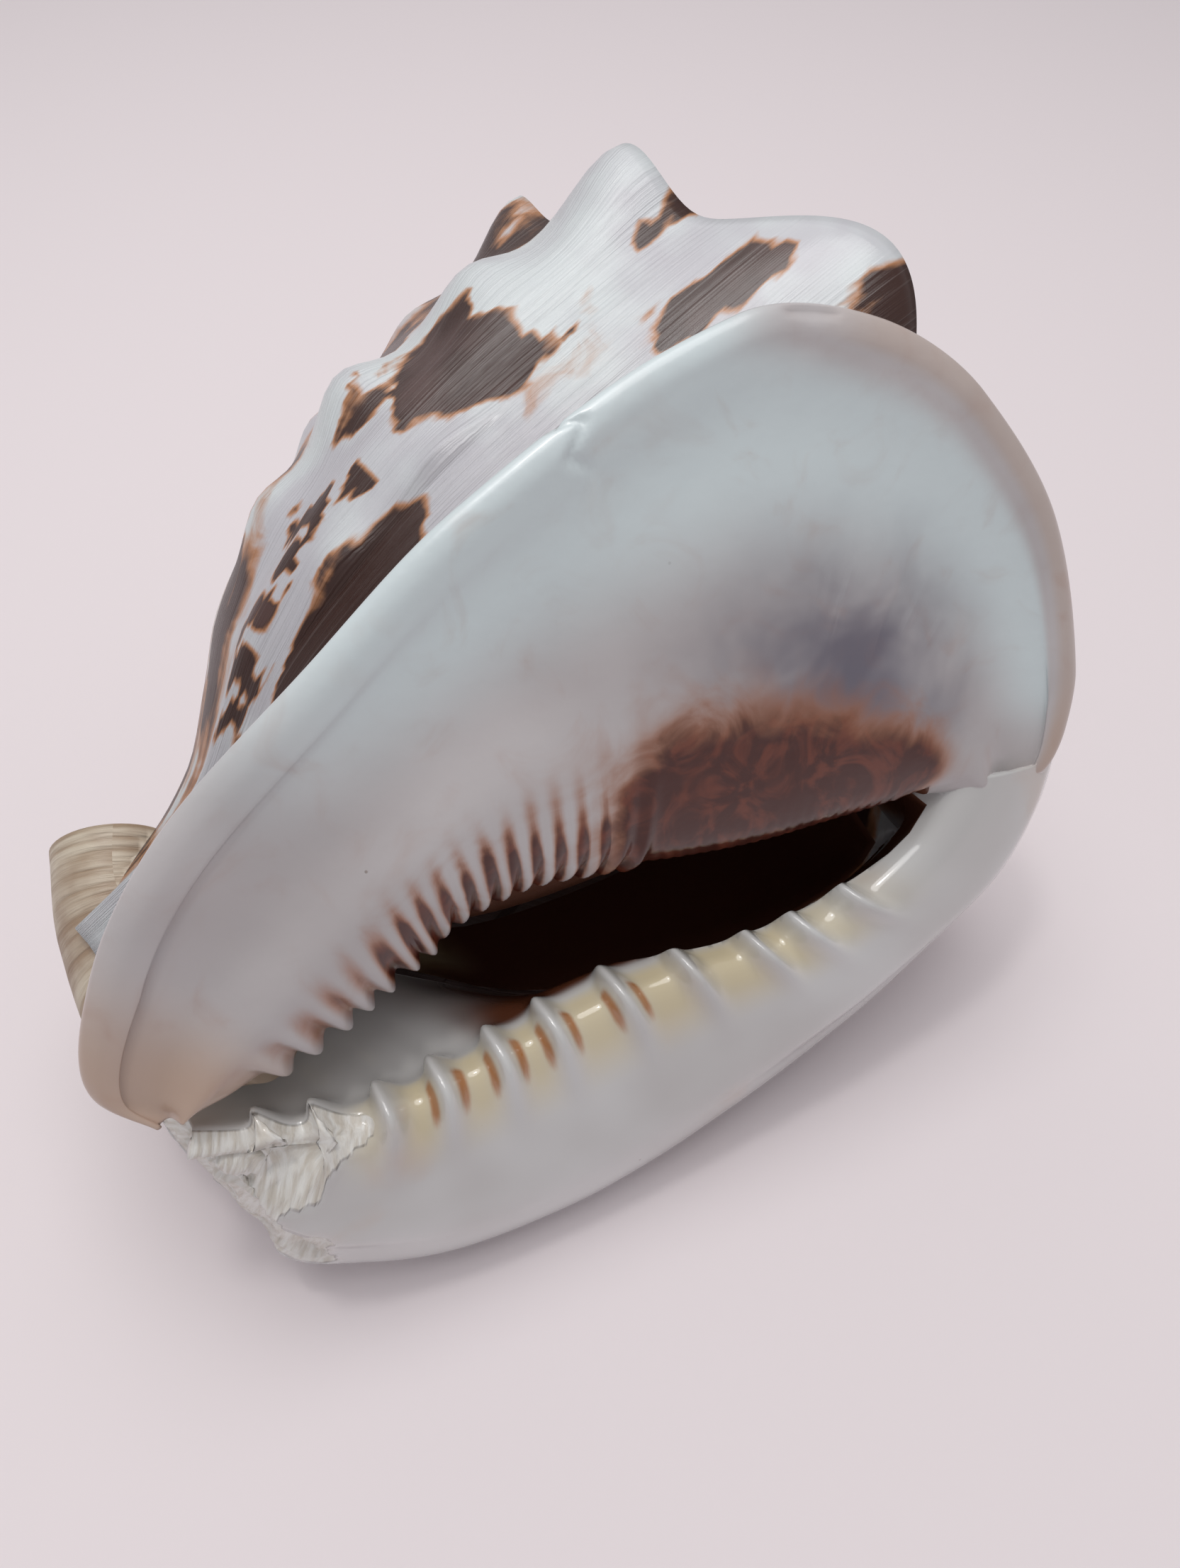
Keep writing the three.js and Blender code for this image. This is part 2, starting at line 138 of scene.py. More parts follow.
# The lip's section on its outer side and crest, given in the same way.
LIP_SECTION = [
    (1, -0.8, -29), (1, 0, -23), (1, -4, -15.5), (1, -13, -9), (0.62, 0, -4), (0.3, 0, -0.8),
    (0, 3.2, -1.8), (0, -0.2, -7),
]

# Teeth of the lip and of the columella, by their place along the mouth from the spire end.
LIP_TEETH_AT = [0.2, 0.27, 0.33, 0.42, 0.505, 0.59, 0.655, 0.725, 0.79, 0.86, 0.92]
LIP_TOOTH = {"height": 4.8, "width": 2.7}
MOUTH_LENGTH = 190
COLUMELLA_TEETH_AT = [0.722, 0.745, 0.777, 0.804, 0.832, 0.868, 0.902]
COLUMELLA_TOOTH = {"height": 3.6, "width": 1.9}
FOLDS = {"first": 0.485, "last": 0.70, "count": 10, "height": 2.2, "width": 1.6}
WRINKLES = {"first": 0.12, "last": 0.47, "count": 22, "height": 0.45, "width": 1.9}

# Small flaws of the shield, by place along the mouth and round the shield's section.
CHIP = {"at": (0.39, 0.505), "size": (0.02, 0.022), "depth": 0.7}
CRACK = {"at": 0.527, "depth": 0.7, "width": 0.7}
SCARS = {"at": [(0.33, 0.29), (0.235, 0.297)], "size": (0.022, 0.014), "height": 0.5}
RUST = {"at": (0.07, 0.66), "size": (0.04, 0.07), "strength": 0.55}  # rusty patch at the lip's spire end

# The broken front end of the lip: thin layers have flaked off in steps.
BREAK = {"from": 0.84, "full": 0.93, "depth": 5.0, "layers": 4}

# Recurved siphonal canal: centre line and bore.
CANAL_LINE = [(15, -186, 36), (12, -200, 22), (5, -206, 6), (-5, -202, -8), (-16, -193, -21)]
CANAL = {"width": 12.5, "thickness": 10, "flare": 4, "bore": 5.5, "bore_start": (22, -176, 44)}

# Rounded plug between shield, lip and shoulder that closes the mouth at the spire end.
CORNER = {"centre": (68, -23, 38), "radii": (38, 13, 24)}


# ---------------------------------------------------------------- curves
def smoothstep(value, low, high):
    x = np.clip((value - low) / (high - low), 0, 1)
    return x * x * (3 - 2 * x)


def mix(a, b, k):
    return a + (b - a) * k


def band(value, rise, fall):
    """Rises from 0 to 1 over the first pair of values and falls back over the second."""
    return smoothstep(value, *rise) * (1 - smoothstep(value, *fall))


def bell(x):
    return np.exp(-x * x)


def spot(u, v, at, size):
    """A soft round spot of height 1 on a surface, at a place and with a size both ways."""
    return bell((u - at[0]) / size[0]) * bell((v - at[1]) / size[1])


def monotone(xs, ys):
    """A smooth curve through the given values that never overshoots them (monotone cubic)."""
    xs = np.asarray(xs, float)
    ys = np.asarray(ys, float)
    widths = np.diff(xs)
    slopes = np.diff(ys) / widths
    before = slopes[:-1]
    after = slopes[1:]
    a = 2 * widths[1:] + widths[:-1]
    b = widths[1:] + 2 * widths[:-1]
    with np.errstate(divide="ignore", invalid="ignore"):
        inner = np.where(before * after > 0, (a + b) / (a / before + b / after), 0)
    tangents = np.concatenate([slopes[:1], inner, slopes[-1:]])

    def curve(value):
        x = np.clip(value, xs[0], xs[-1])
        i = np.clip(np.searchsorted(xs, x, side="right") - 1, 0, len(xs) - 2)
        w = widths[i]
        s = (x - xs[i]) / w
        return (
            (1 + 2 * s) * (1 - s) ** 2 * ys[i]
            + s * (1 - s) ** 2 * w * tangents[i]
            + s * s * (3 - 2 * s) * ys[i + 1]
            + s * s * (s - 1) * w * tangents[i + 1]
        )

    return curve


def smooth_line(points):
    """The same along a line of points, by its length from 0 to 1."""
    points = np.asarray(points, float)
    lengths = np.concatenate([[0], np.cumsum(np.linalg.norm(np.diff(points, axis=0), axis=1))])
    axes = [monotone(lengths / lengths[-1], points[:, k]) for k in range(points.shape[1])]
    return lambda u: np.stack([axis(u) for axis in axes], axis=-1)


def smooth_loop(points, count):
    """Closed Catmull-Rom curve through points (..., n, 3): count samples, and the first one again."""
    n = points.shape[-2]
    t = np.arange(count + 1) / count * n
    i = np.floor(t).astype(int)
    s = (t - i)[:, None]
    p0, p1, p2, p3 = (points[..., (i + k) % n, :] for k in (-1, 0, 1, 2))
    return 0.5 * (
        2 * p1
        + (p2 - p0) * s
        + (2 * p0 - 5 * p1 + 4 * p2 - p3) * s ** 2
        + (3 * p1 - p0 - 3 * p2 + p3) * s ** 3
    )


def ridges(u, places, width):
    """Rounded ridges of height 1 across the mouth's edge, at the given places along it."""
    away = (u[..., None] - np.array(places)) * MOUTH_LENGTH / width
    return bell(away).max(axis=-1)


def ripple(points, size, seed):
    """Smooth irregular field from about -1 to 1, from a few crossing waves."""
    wave = np.zeros(points.shape[:-1])
    for k in range(6):
        turn = seed * 2.4 + k * 1.7
        direction = np.array((math.sin(turn), math.cos(turn * 1.3), math.sin(turn * 2.1 + 1)))
        wave = wave + np.sin(points @ direction * (2 * np.pi / size) * (0.7 + 0.25 * k) + k * 2 + seed)
    return wave / 3.5


taper = monotone(TAPER_AT, TAPER)


def face_height(y):
    return FACE_HEIGHT + (y - FACE_Y) * FACE_SLOPE


def shoulder(angle):
    growth = GROWTH ** (angle / 360)
    return growth, SHOULDER_RADIUS * growth, -SHOULDER_DROP * growth ** 0.9


def polar(radius, y, angle):
    turn = np.radians(angle)
    return np.stack(np.broadcast_arrays(radius * np.cos(turn), y, radius * np.sin(turn)), axis=-1)


def side_radius(angle, y):
    """Radius of the whorl's side at a height, and how far down the side that height is."""
    _, radius, top = shoulder(angle)
    side = (y - top) / (BASE_Y - top)
    return radius * taper(side), side


# ---------------------------------------------------------------- body whorl and spire
def row_height(angle, down, i):
    """Height of one row of knobs, down millimetres from the shoulder."""
    row = KNOB_ROWS[i]
    turn = (angle - FIRST_KNOB - i * KNOB_ROW_LAG) * KNOBS_PER_TURN / 360
    proud = bell((angle - PROUD["angle"]) / PROUD["reach"])
    around = (0.5 + 0.5 * np.cos(2 * np.pi * turn)) ** (KNOB_SHARPNESS - PROUD["rounder"] * proud)
    clear = (angle < BURIED_FROM) | (angle > BURIED_TO)
    height = row["height"] * shoulder(angle)[0] * (1 + proud * PROUD["more"] * (i > 0))
    return clear * height * around * bell((down - row["at"] * SIDE_LENGTH) / row["width"])


def knob_height(angle, down):
    return sum(row_height(angle, down, i) for i in range(len(KNOB_ROWS)))


def body_pattern(angle, q):
    """Brown clouds of the outside: from 0, white, to 1, darkest."""
    mm = np.stack([np.radians(angle) * SHOULDER_RADIUS, q * SIDE_LENGTH, 0 * q], axis=-1)
    clouds = 0.4 + 0.45 * ripple(mm, CLOUD_WAVES["wide"], 7) + 0.22 * ripple(mm, CLOUD_WAVES["fine"], 5)
    clouds = clouds * (1 - band(-angle, *BESIDE_SHIELD))
    warped_angle = angle + 2.6 * ripple(mm, 26, 11) + 1.1 * ripple(mm, 9, 12)
    warped_q = q + 0.028 * ripple(mm, 30, 13) + 0.011 * ripple(mm, 8, 14)
    for at, side, wide, tall, strength in BROWN_CLOUDS:
        place = ((warped_angle - at) / wide) ** 2 + ((warped_q - side) / tall) ** 2
        clouds = np.maximum(clouds, strength * (1 - smoothstep(place, 0.35, 1.9)))
    return np.clip(clouds, 0, 1)


def outside(angle, q):
    """Radius and height of the outside: q is -1 at the suture, 0 at the shoulder and 1 at the front."""
    _, radius_now, top = shoulder(angle)
    growth_before, radius_before, top_before = shoulder(angle - 360)
    side = np.maximum(q, 0)
    ramp = np.minimum(q, 0) + 1
    on_ramp = q < 0
    ramp_radius = mix(radius_before * SUTURE["inset"], radius_now, ramp)
    ramp_y = mix(top_before - SUTURE["dip"] * growth_before, top, ramp ** SUTURE["hollow"])
    radius = np.where(on_ramp, ramp_radius, radius_now * taper(side))
    y = np.where(on_ramp, ramp_y, mix(top, BASE_Y, side))
    down = np.where(on_ramp, (ramp - 1) * RAMP_LENGTH, side * SIDE_LENGTH)
    for i, row in enumerate(KNOB_ROWS):
        height = row_height(angle, down, i)
        radius = radius + height * math.cos(math.radians(row["tilt"]))
        y = y + height * math.sin(math.radians(row["tilt"]))
    lump = bell((angle - CREST_LUMP["angle"]) / CREST_LUMP["width"]) * bell(down / CREST_LUMP["reach"])
    y = y + CREST_LUMP["height"] * lump
    radius = radius + CREST_LUMP["height"] * CREST_LUMP["lean"] * lump
    radius = radius + VARIX["height"] * bell((angle - VARIX["angle"]) / VARIX["width"]) * ramp
    return radius, y


def smooth_lump(angle, down):
    """Where the crest lump is glossy and free of growth lines."""
    return bell((angle - LUMP_GLOSS["angle"]) / LUMP_GLOSS["width"]) * bell(down / LUMP_GLOSS["reach"])


def in_mouth(angle, q, turns):
    """The part of the whorl that lies inside the mouth, which is painted dark: partly the lining's own
    brown, partly painted shade of the mouth.
    """
    before_mouth = 1 - smoothstep(angle, LINING["all_below"], LINING["none_above"])
    return (turns == 0) * (q > LINING["from_side"]) * before_mouth


def wedge(start, end, columns):
    """Profiles from the apex to the front end, swept round the axis, with the layers that colour them."""
    angle = np.linspace(start, end, columns)[:, None]
    spire = [(back, q) for back in (3, 2, 1) for q in np.linspace(-1, 0, 9)[:-1 if back > 1 else None]]
    side = np.concatenate([np.linspace(-1, 0, 15)[:-1], np.linspace(0, 1, 62)])
    turns = np.array([back for back, _ in spire] + [0] * len(side))
    q = np.array([place for _, place in spire] + list(side))
    radius, y = outside(angle - 360 * turns, q)
    zero = np.zeros((columns, 1))
    radius = np.concatenate([zero, radius, zero], axis=1)
    y = np.concatenate([zero, y, zero + BASE_Y - 2], axis=1)
    turns = np.concatenate([[3], turns, [0]])
    q = np.concatenate([[-1], q, [1]])
    own_angle = angle - 360 * turns
    down = np.where(q < 0, q * RAMP_LENGTH, q * SIDE_LENGTH) + 0 * angle
    brown = body_pattern(own_angle, q + 0 * angle)
    knob_white = np.clip(knob_height(own_angle, down) / 4, 0, 1)
    layers = {
        "millimetres": (np.radians(own_angle) * SHOULDER_RADIUS, down),
        "marks": (brown, knob_white),
        "more marks": (smooth_lump(own_angle, down), in_mouth(own_angle, q + 0 * angle, turns)),
    }
    return polar(radius, y, angle), layers


# ---------------------------------------------------------------- parietal shield and outer lip
def on_face(inner, outer, place):
    """A section point: part of the way from inner to outer, plus a distance, at a height over the face."""
    part, extra, height = place
    reach = np.linalg.norm(outer - inner, axis=-1)
    k = (part + extra / np.maximum(reach, NARROW_FACE))[..., None]
    flat = mix(inner, outer, k)
    return np.concatenate([flat, (face_height(flat[..., 1]) + height)[..., None]], axis=-1)


def covered_height(x, y):
    """Height of the turn before on the mouth side, which the shield must cover."""
    z = np.full_like(x, FACE_HEIGHT)
    for _ in range(3):
        angle = np.degrees(np.arctan2(np.maximum(z, 5), x)) - 360
        radius, _ = side_radius(angle, y)
        top = shoulder(angle)[2]
        shrink = np.where(y > top, np.sqrt(np.clip(1 - (y - top) / 40, 0, 1)), 1)
        z = np.sqrt(np.maximum((radius * shrink) ** 2 - x * x, 0))
    return z


def with_layers(loops, along_mm, across_mm, marks=(0, 0), more_marks=(0, 0)):
    """Adds the layers that colour a surface: millimetres both ways, and up to four masks."""
    u = np.linspace(0, 1, loops.shape[0])[:, None]
    v = np.linspace(0, 1, loops.shape[1])[None, :]
    return loops, {"millimetres": (u * along_mm, v * across_mm), "marks": marks, "more marks": more_marks}


def chamber_shade(points):
    """Brown of the inside and painted shade of the deep mouth: from 0 near the front end to 1 further in."""
    return smoothstep(points[..., 1] + 10 * ripple(points, 45, 9), -168, -132)


def outward(loops):
    """Unit normals of a grid of points, pointing out of the solid."""
    along = np.gradient(loops, axis=0)
    across = np.gradient(loops, axis=1)
    across[:, 0] = across[:, -1] = loops[:, 1] - loops[:, -2]
    normals = np.cross(along, across)
    normals /= np.linalg.norm(normals, axis=-1, keepdims=True) + 1e-9
    centre = loops.mean(axis=1, keepdims=True)
    return normals * np.sign(np.sum(normals * (loops - centre)))


def broken_depth(loops, u, v):
    """How deep the lip is chipped: layered steps over the outer side of its front end."""
    worn = smoothstep(u + 0.035 * ripple(loops, 34, 1), BREAK["from"], BREAK["full"])
    reach = smoothstep(v + 0.02 * ripple(loops, 15, 4), 0.42, 0.52) * (1 - smoothstep(v, 0.86, 0.93))
    level = worn * reach * (1 + 0.35 * ripple(loops, 22, 2)) * BREAK["layers"]
    step = np.floor(level) + smoothstep(level - np.floor(level), 0.0, 0.16)
    rough = 0.25 * ripple(loops, 5, 3) * worn * reach
    return np.clip(step / BREAK["layers"], 0, 1.3) * BREAK["depth"] + rough


def fold_places():
    return np.linspace(FOLDS["first"], FOLDS["last"], FOLDS["count"])


def columella_relief(u, v):
    """Height of the teeth, folds and wrinkles along the shield's inner edge."""
    teeth = COLUMELLA_TOOTH["height"] * ridges(u, COLUMELLA_TEETH_AT, COLUMELLA_TOOTH["width"])
    teeth = teeth * smoothstep(v, 0.045, 0.085) * (1 - smoothstep(v, 0.1, 0.25)) ** 1.5
    bent = u + 0.12 * (v - 0.1)
    folds = FOLDS["height"] * ridges(bent, fold_places(), FOLDS["width"])
    folds = folds * band(v, (0.03, 0.08), (0.11, 0.23))
    places = np.linspace(WRINKLES["first"], WRINKLES["last"], WRINKLES["count"])
    wrinkles = WRINKLES["height"] * ridges(u - 0.25 * (v - 0.1), places, WRINKLES["width"])
    return teeth + folds + wrinkles * band(v, (0.04, 0.09), (0.12, 0.19))


def rim_chip(u, v):
    """A shallow chip out of the rim, and the crack that starts at the rim beside it."""
    chip = -CHIP["depth"] * smoothstep(spot(u, v, CHIP["at"], CHIP["size"]), 0.4, 0.7)
    line = CRACK["at"] + 0.006 * np.sin(v * 60) + 0.05 * (v - 0.45)
    crack = -CRACK["depth"] * bell((u - line) * MOUTH_LENGTH / CRACK["width"])
    return chip + crack * band(v, (0.36, 0.41), (0.56, 0.6))


def crust(loops, u, v):
    """Two small rough scars left by growths that sat on the shield."""
    scar = sum(spot(u, v, at, SCARS["size"]) for at in SCARS["at"])
    return SCARS["height"] * scar * np.clip(ripple(loops, 4, 6), 0, 1)


def shield_colours(loops, u, v):
    """Masks of the shield: brown stain, smoky halo, a tone that paints the dish lighter and bluish and the
    rim and front end tan and darker (painted light and shade over the callus's own tints), and the inside
    painted dark (brown lining and painted shade).
    """
    in_folds = band(u, (0.44, 0.52), (0.73, 0.79))
    in_teeth = 0.35 * band(u, (0.74, 0.78), (0.92, 0.96))
    hollows = 1 - ridges(u, COLUMELLA_TEETH_AT + list(fold_places()), 1.5)
    hollows = 1.3 * hollows * band(v, (0.03, 0.06), (0.15, 0.25)) * (in_folds + in_teeth)
    blotch = band(u, (0.05, 0.17), (0.45, 0.57)) * (1 - smoothstep(v, 0.185, 0.275)) * (v > 0.02)
    front = smoothstep(u, 0.84, 0.97)
    stain = np.maximum(hollows, blotch) * (1 - front)
    halo = spot(u, v, (0.28, 0.265), (0.17, 0.06))
    # Painted light and shade: the dish is painted lighter and bluish, the left rim and the front end tan and
    # darker, over the callus's own bluish and tan tints.
    dish = smoothstep(v, 0.26, 0.37) * (1 - smoothstep(u, 0.6, 0.88)) * smoothstep(u, 0, 0.1)
    rim = np.maximum(0.75 * smoothstep(v, 0.36, 0.46) * (1 - smoothstep(u, 0.34, 0.48)), front)
    tone = dish * (1 - rim) - rim
    # Painted shade: the shield's sides inside the mouth are painted darker further in, with the lining's own
    # brown.
    back = smoothstep(v, 0.56, 0.62) + 1 - smoothstep(v, 0.02, 0.06)
    dark = np.clip(back, 0, 1) * chamber_shade(loops)
    return (stain, halo), (tone, dark)


def parietal_shield(stations, around):
    u = np.linspace(0, 1, stations)
    edge = smooth_line(COLUMELLA_EDGE)(u ** 1.15)
    rim = smooth_line(SHIELD_RIM)(u)
    points = np.stack([on_face(edge, rim, place) for place in SHIELD_SECTION], axis=1)
    top = points[:, SHIELD_TOP]
    top[..., 2] = np.maximum(top[..., 2], covered_height(top[..., 0], top[..., 1]) + CALLUS)
    loops = smooth_loop(points, around)
    v = np.linspace(0, 1, around + 1)[None, :]
    u = u[:, None]
    round_end = np.sqrt(1 - (1 - np.clip(u / SHIELD_END, 0, 1)) ** 2)
    size = mix(SHIELD_END_SIZE, 1, round_end)[..., None]
    loops = mix(loops.mean(axis=1, keepdims=True), loops, size)
    relief = columella_relief(u, v) + rim_chip(u, v) + crust(loops, u, v)
    loops += outward(loops) * relief[..., None]
    return with_layers(loops, MOUTH_LENGTH, 180, *shield_colours(loops, u, v))


def wall_point(y, inwards, angle):
    radius, _ = side_radius(angle, y)
    return polar(radius - inwards, y, angle)


def lip_colours(loops, u, v, broken):
    """Masks of the lip: yellow between the ridges, brown streaks, broken end, and the inner side painted
    dark: brown lining and painted shade.
    """
    between = band(u, (0.1, 0.3), (0.78, 0.86)) * (1 - ridges(u, LIP_TEETH_AT, 3.2))
    between = between * band(v, (0.79, 0.85), (0.93, 0.96))
    streaks = sum(bell((np.abs(u - at) * MOUTH_LENGTH - 3.3) / 1.2) for at in LIP_TEETH_AT[4:8])
    streaks = streaks * band(v, (0.825, 0.86), (0.9, 0.93))
    streaks = streaks + RUST["strength"] * spot(u, v, RUST["at"], RUST["size"])
    # Painted shade: the lip's inner side is painted darker further into the mouth, with the lining's own
    # brown.
    inside = smoothstep(v, 0.95, 0.99) + 1 - smoothstep(v, 0.18, 0.3)
    dark = np.clip(inside, 0, 1) * chamber_shade(loops)
    return (between, streaks), (np.clip(broken, 0, 1), dark)


def outer_lip(stations, around):
    u = np.linspace(0, 1, stations)
    crest = smooth_line(LIP_CREST)(u)
    margin = smooth_line(LIP_MARGIN)(u)
    root = np.clip(crest[:, 1], -196, -40) * 0.7 + np.clip(margin[:, 1], -196, -40) * 0.3
    under = on_face(crest, margin, (1, -5, -35))
    throat = on_face(crest, margin, (0, -1, -14))
    section = [
        throat,
        mix(wall_point(root, 9, 24), throat, 0.5),
        wall_point(root, 6, 14),
        wall_point(root, 4, 0),
        wall_point(root, 1.5, 4),
        mix(wall_point(root, 0, 16), under, 0.5) + (2, 0, -2),
        under,
    ]
    section += [on_face(crest, margin, place) for place in LIP_SECTION]
    points = np.stack(section, axis=1)
    height = LIP_TOOTH["height"] * ridges(u, LIP_TEETH_AT, LIP_TOOTH["width"])
    face, crown, inner_side = 12, 13, 14  # section points that the teeth lift
    points[:, face, 2] += height * 0.15
    points[:, crown, 2] += height * 0.9
    points[:, crown, 0] -= height * 0.7
    points[:, inner_side, 0] -= height * 1.2
    loops = smooth_loop(points, around)
    v = np.linspace(0, 1, around + 1)[None, :]
    u = u[:, None]
    broken = broken_depth(loops, u, v)
    loops += outward(loops) * -broken[..., None]
    return with_layers(loops, MOUTH_LENGTH, 150, *lip_colours(loops, u, v, broken))


# ---------------------------------------------------------------- canal and chamber
def rounded_tube(line, half_width, half_thickness, flare, stations, around):
    """An oval tube along a smooth line, closed at both ends and widening by flare."""
    centre_line = smooth_line(line)
    u = np.linspace(0, 1, stations)
    along = centre_line(np.minimum(u + 0.02, 1)) - centre_line(np.maximum(u - 0.02, 0))
    along /= np.linalg.norm(along, axis=-1, keepdims=True)
    across = np.cross((0.8, 0.3, 0.5), along)
    across /= np.linalg.norm(across, axis=-1, keepdims=True)
    through = np.cross(along, across)
    turn = np.linspace(0, 2 * np.pi, around + 1)[None, :, None]
    wide = (half_width + flare * u)[:, None, None]
    thick = (half_thickness + flare * u)[:, None, None]
    oval = across[:, None] * wide * np.cos(turn) + through[:, None] * thick * np.sin(turn)
    return with_layers(centre_line(u)[:, None] + oval, 70, 75)


def corner_plug(stations, around):
    lean = np.linspace(0.05, math.pi - 0.05, stations)[:, None]
    turn = np.linspace(0, 2 * math.pi, around + 1)[None, :]
    ring = np.sin(lean)
    ball = np.stack(np.broadcast_arrays(np.cos(lean), ring * np.cos(turn), ring * np.sin(turn)), axis=-1)
    points = ball * CORNER["radii"] + CORNER["centre"]
    # The plug's part inside the mouth is painted dark: brown lining and painted shade.
    return with_layers(points, 100, 100, more_marks=(0, 1 - smoothstep(points[..., 1], -30, -22)))


def canal_bore(stations, around):
    end = np.array(CANAL_LINE[-1], float)
    beyond = end + (end - CANAL_LINE[-2]) * 0.5
    line = [CANAL["bore_start"], *CANAL_LINE[:-1], tuple(end), tuple(beyond)]
    return rounded_tube(line, CANAL["bore"], CANAL["bore"], 1.5, stations, around)


def chamber(around):
    """The hollow turn between the whorl wall and the turn before, narrowing to the slit of the mouth."""
    thicker_at_lip = {"wall": 17, "callus": 4}
    corner = {"deep": 6, "reach": 0.12}  # the hollow is rounded under the shoulder
    stretches = ((-1000, -500, 36), (-490, -8, 60), (-4, 52, 16))  # first angle, last, stations
    angle = np.concatenate([np.linspace(*stretch) for stretch in stretches])
    growth, radius_now, top = (value[:, None] for value in shoulder(angle))
    _, radius_before, top_before = (value[:, None] for value in shoulder(angle - 360))
    angle = angle[:, None]
    outer = WALL * growth + thicker_at_lip["wall"] * smoothstep(angle, 0, 50)
    inner = CALLUS * growth + thicker_at_lip["callus"] * smoothstep(angle, -10, 45)
    side = np.linspace(0.05, 0.93, around)[None, :]
    y = mix(top, BASE_Y, side)
    rounded = corner["deep"] * growth * np.clip(1 - side / corner["reach"], 0, 1) ** 2
    wide = radius_now * taper(side) - outer - rounded
    core = radius_before * taper((y - top_before) / (BASE_Y - top_before)) + inner
    core = np.minimum(core, wide - 3 * growth)
    loops = np.concatenate([polar(wide, y, angle), polar(core, y, angle)[:, ::-1]], axis=1)
    loops = np.concatenate([loops, loops[:, :1]], axis=1)
    # The chamber's mask is painted darker further in: brown lining and painted shade.
    return with_layers(loops, 900, 300, more_marks=(0, chamber_shade(loops)))


# ---------------------------------------------------------------- from points to solids
def select_vertices(piece, chosen):
    """Leaves edit mode with only the chosen vertices selected, then goes back in."""
    bpy.ops.object.mode_set(mode="OBJECT")
    mesh = piece.data
    mesh.vertices.foreach_set("select", np.isin(np.arange(len(mesh.vertices)), chosen))
    mesh.edges.foreach_set("select", np.zeros(len(mesh.edges), bool))
    mesh.polygons.foreach_set("select", np.zeros(len(mesh.polygons), bool))
    bpy.ops.object.mode_set(mode="EDIT")


def swept(name, surface, material):
    """A closed solid from a grid of points: both end profiles are closed, doubled points merged."""
    points, layers = surface
    stations, size = points.shape[:2]
    bpy.ops.mesh.primitive_grid_add(x_subdivisions=size - 1, y_subdivisions=stations - 1, size=2)
    piece = bpy.context.active_object
    piece.name = name
    mesh = piece.data
    mesh.vertices.foreach_set("co", points.reshape(-1))
    corners = np.empty(len(mesh.loops), np.int32)
    mesh.loops.foreach_get("vertex_index", corners)
    while mesh.uv_layers:
        mesh.uv_layers.remove(mesh.uv_layers[0])
    for layer, pair in layers.items():
        values = np.stack([np.broadcast_to(value, (stations, size)) for value in pair], axis=-1)
        uv = mesh.uv_layers.new(name=layer)
        uv.data.foreach_set("uv", values.reshape(-1, 2)[corners].reshape(-1))
    mesh.materials.append(material)
    mesh.polygons.foreach_set("use_smooth", np.ones(len(mesh.polygons), bool))
    bpy.ops.object.mode_set(mode="EDIT")
    bpy.ops.mesh.select_mode(type="VERT")
    for start in (0, (stations - 1) * size):
        select_vertices(piece, [start, start + size - 1])
        bpy.ops.mesh.edge_face_add()
        select_vertices(piece, np.arange(start, start + size))
        bpy.ops.mesh.edge_face_add()
    bpy.ops.mesh.select_all(action="SELECT")
    bpy.ops.mesh.remove_doubles(threshold=0.002)
    bpy.ops.mesh.quads_convert_to_tris()
    bpy.ops.mesh.normals_make_consistent(inside=False)
    bpy.ops.object.mode_set(mode="OBJECT")
    return piece


def only(piece):
    bpy.ops.object.select_all(action="DESELECT")
    piece.select_set(True)
    bpy.context.view_layer.objects.active = piece


def combine(target, other, operation):
    only(target)
    modifier = target.modifiers.new(name=operation.lower(), type="BOOLEAN")
    modifier.operation = operation
    modifier.solver = "MANIFOLD"
    modifier.material_mode = "TRANSFER"
    modifier.object = other
    bpy.ops.object.modifier_apply(modifier=modifier.name)
    bpy.data.objects.remove(other)


# ---------------------------------------------------------------- laying the shell on its feet
def lowest_near(points, place, down):
    near = points[np.linalg.norm(points - place, axis=1) < FOOT_REACH]
    return near[np.argmax(near @ down)]


def laying_down(points):
    """The turn and shift that lay the shell on its feet, mouth to -Y and spire to +X, in millimetres."""
    up = np.array((-0.85, 0.2, 0.48))
    for _ in range(6):
        lip, knob, horn = (lowest_near(points, np.array(place), -up) for place in FEET)
        up = np.cross(knob - lip, horn - lip)
        up /= np.linalg.norm(up)
        if up[0] > 0:
            up = -up
    mouth = np.array((0, -FACE_SLOPE, 1))
    back = up * (mouth @ up) - mouth
    back /= np.linalg.norm(back)
    turn = np.stack([np.cross(back, up), back, up])
    laid = points @ turn.T
    low, high = laid.min(axis=0), laid.max(axis=0)
    shift = (-(low[0] + high[0]) / 2, -(low[1] + high[1]) / 2, -low[2] - REST_FLAT)
    return turn, shift


def lay_down(piece):
    mesh = piece.data
    points = np.empty(len(mesh.vertices) * 3)
    mesh.vertices.foreach_get("co", points)
    points = points.reshape(-1, 3)
    turn, shift = laying_down(points)
    laid = (points @ turn.T + shift) * MM
    laid[:, 2] = np.maximum(laid[:, 2], 0)  # the worn flats
    mesh.vertices.foreach_set("co", laid.reshape(-1))
    mesh.update()


# ---------------------------------------------------------------- scene
def look_from(position, target, focal_mm):
    data = bpy.data.cameras.new("camera")
    data.lens = focal_mm
    data.clip_start = 0.01
    camera = bpy.data.objects.new("camera", data)
    bpy.context.collection.objects.link(camera)
    camera.location = position
    camera.rotation_euler = (Vector(target) - Vector(position)).to_track_quat("-Z", "Y").to_euler()
    bpy.context.scene.camera = camera


